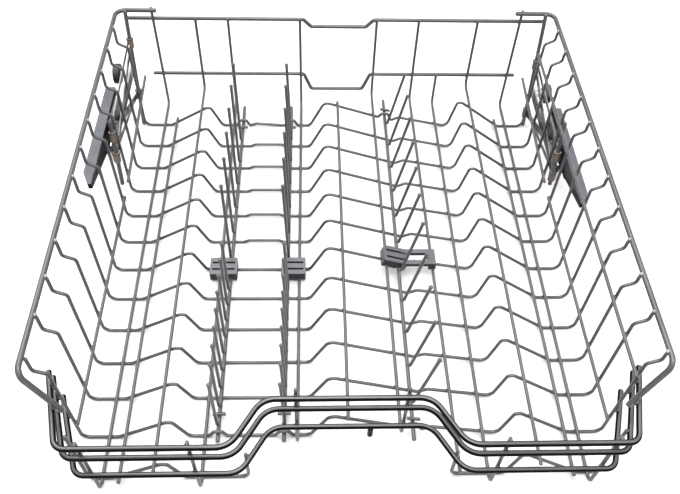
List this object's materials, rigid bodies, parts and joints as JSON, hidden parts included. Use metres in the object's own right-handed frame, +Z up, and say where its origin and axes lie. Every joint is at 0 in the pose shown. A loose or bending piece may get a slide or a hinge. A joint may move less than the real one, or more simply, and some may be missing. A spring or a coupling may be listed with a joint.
{
  "type": "dishwasher basket",
  "caption": "Wire upper basket of a dishwasher: ridged floor, folding tine rows in clips, set-back front wires and height adjusters with rollers and levers on both sides.",
  "frame": {"origin": "middle of the footprint, level with the underside of the floor wires", "axes": "+X to the basket's right seen from the front, +Y to the back, +Z up"},
  "size_m": [0.5624, 0.5454, 0.1545],
  "materials": {
    "coated_wire": "satin",
    "clip_plastic": "matte",
    "lever_plastic": "satin",
    "collar_plastic": "satin",
    "brace_steel": "brushed",
    "spring_steel": "bright",
    "roller_plastic": "satin"
  },
  "bodies": {
    "basket": {"back_wire_lower": "coated_wire", "back_wire_upper": "coated_wire", "cross_wire_01": "coated_wire", "cross_wire_02": "coated_wire", "cross_wire_03": "coated_wire", "cross_wire_04": "coated_wire", "cross_wire_05": "coated_wire", "cross_wire_06": "coated_wire", "cross_wire_07": "coated_wire", "cross_wire_08": "coated_wire", "cross_wire_09": "coated_wire", "cross_wire_10": "coated_wire", "cross_wire_11": "coated_wire", "cross_wire_12": "coated_wire", "front_foot_wire_left": "coated_wire", "front_foot_wire_right": "coated_wire", "front_wire_lower": "coated_wire", "front_wire_middle": "coated_wire", "front_wire_upper": "coated_wire", "guide_rod_front_left": "coated_wire", "guide_rod_front_right": "coated_wire", "guide_rod_rear_left": "coated_wire", "guide_rod_rear_right": "coated_wire", "long_wire_01": "coated_wire", "long_wire_02": "coated_wire", "long_wire_03": "coated_wire", "long_wire_04": "coated_wire", "long_wire_05": "coated_wire", "long_wire_06": "coated_wire", "long_wire_07": "coated_wire", "long_wire_08": "coated_wire", "long_wire_09": "coated_wire", "long_wire_10": "coated_wire", "long_wire_11": "coated_wire", "long_wire_12": "coated_wire", "rim_left": "coated_wire", "rim_right": "coated_wire", "side_wire_lower_left": "coated_wire", "side_wire_lower_right": "coated_wire", "side_wire_rear_left": "coated_wire", "side_wire_rear_right": "coated_wire", "side_wire_upper_right": "coated_wire", "tine_clip_left": "clip_plastic", "tine_clip_middle": "clip_plastic", "tine_clip_right": "clip_plastic"},
    "tine_row_left": {"tine_row_left": "coated_wire"},
    "tine_row_middle": {"tine_row_middle": "coated_wire"},
    "tine_row_right": {"tine_row_right": "coated_wire"},
    "adjuster_left": {"adjuster_carriage_left": "brace_steel", "adjuster_collars_left": "collar_plastic", "lever_spring_left": "spring_steel"},
    "lever_left": {"adjuster_lever_left": "lever_plastic"},
    "roller_front_left": {"roller_front_left": "roller_plastic"},
    "roller_rear_left": {"roller_rear_left": "roller_plastic"},
    "adjuster_right": {"adjuster_carriage_right": "brace_steel", "adjuster_collars_right": "collar_plastic", "lever_spring_right": "spring_steel"},
    "lever_right": {"adjuster_lever_right": "lever_plastic"},
    "roller_front_right": {"roller_front_right": "roller_plastic"},
    "roller_rear_right": {"roller_rear_right": "roller_plastic"}
  },
  "joints": [
    {"name": "tine_fold_left", "type": "hinge", "parent": "basket", "child": "tine_row_left", "pos_m": [-0.1215, 0, 0.0058], "axis": [0, -1, 0], "range_deg": [0, 55]},
    {"name": "tine_fold_middle", "type": "hinge", "parent": "basket", "child": "tine_row_middle", "pos_m": [-0.0585, 0, 0.0058], "axis": [0, 1, 0], "range_deg": [0, 55]},
    {"name": "tine_fold_right", "type": "hinge", "parent": "basket", "child": "tine_row_right", "pos_m": [0.0645, 0, 0.01838], "axis": [0, 1, 0], "range_deg": [0, 64]},
    {"name": "height_slide_left", "type": "slide", "parent": "basket", "child": "adjuster_left", "axis": [0, 0.1771, 0.9842], "range_m": [-0.0254, 0]},
    {"name": "lever_hinge_left", "type": "hinge", "parent": "adjuster_left", "child": "lever_left", "pos_m": [-0.2652, 0.1604, 0.0937], "axis": [-1, 0, 0], "range_deg": [0, 5.5], "stiffness_Nm_per_rad": 0.25, "springref_deg": -5.73},
    {"name": "roller_spin_front_left", "type": "hinge", "parent": "adjuster_left", "child": "roller_front_left", "pos_m": [-0.2754, 0.1044, 0.0727], "axis": [1, 0, 0], "continuous": true},
    {"name": "roller_spin_rear_left", "type": "hinge", "parent": "adjuster_left", "child": "roller_rear_left", "pos_m": [-0.2754, 0.2424, 0.0727], "axis": [1, 0, 0], "continuous": true},
    {"name": "height_slide_right", "type": "slide", "parent": "basket", "child": "adjuster_right", "axis": [0, 0.1771, 0.9842], "range_m": [0, 0.0254]},
    {"name": "lever_hinge_right", "type": "hinge", "parent": "adjuster_right", "child": "lever_right", "pos_m": [0.2652, 0.1559, 0.0687], "axis": [-1, 0, 0], "range_deg": [0, 5.5], "stiffness_Nm_per_rad": 0.25, "springref_deg": -5.73},
    {"name": "roller_spin_front_right", "type": "hinge", "parent": "adjuster_right", "child": "roller_front_right", "pos_m": [0.2754, 0.0999, 0.0477], "axis": [1, 0, 0], "continuous": true},
    {"name": "roller_spin_rear_right", "type": "hinge", "parent": "adjuster_right", "child": "roller_rear_right", "pos_m": [0.2754, 0.2379, 0.0477], "axis": [1, 0, 0], "continuous": true}
  ]
}
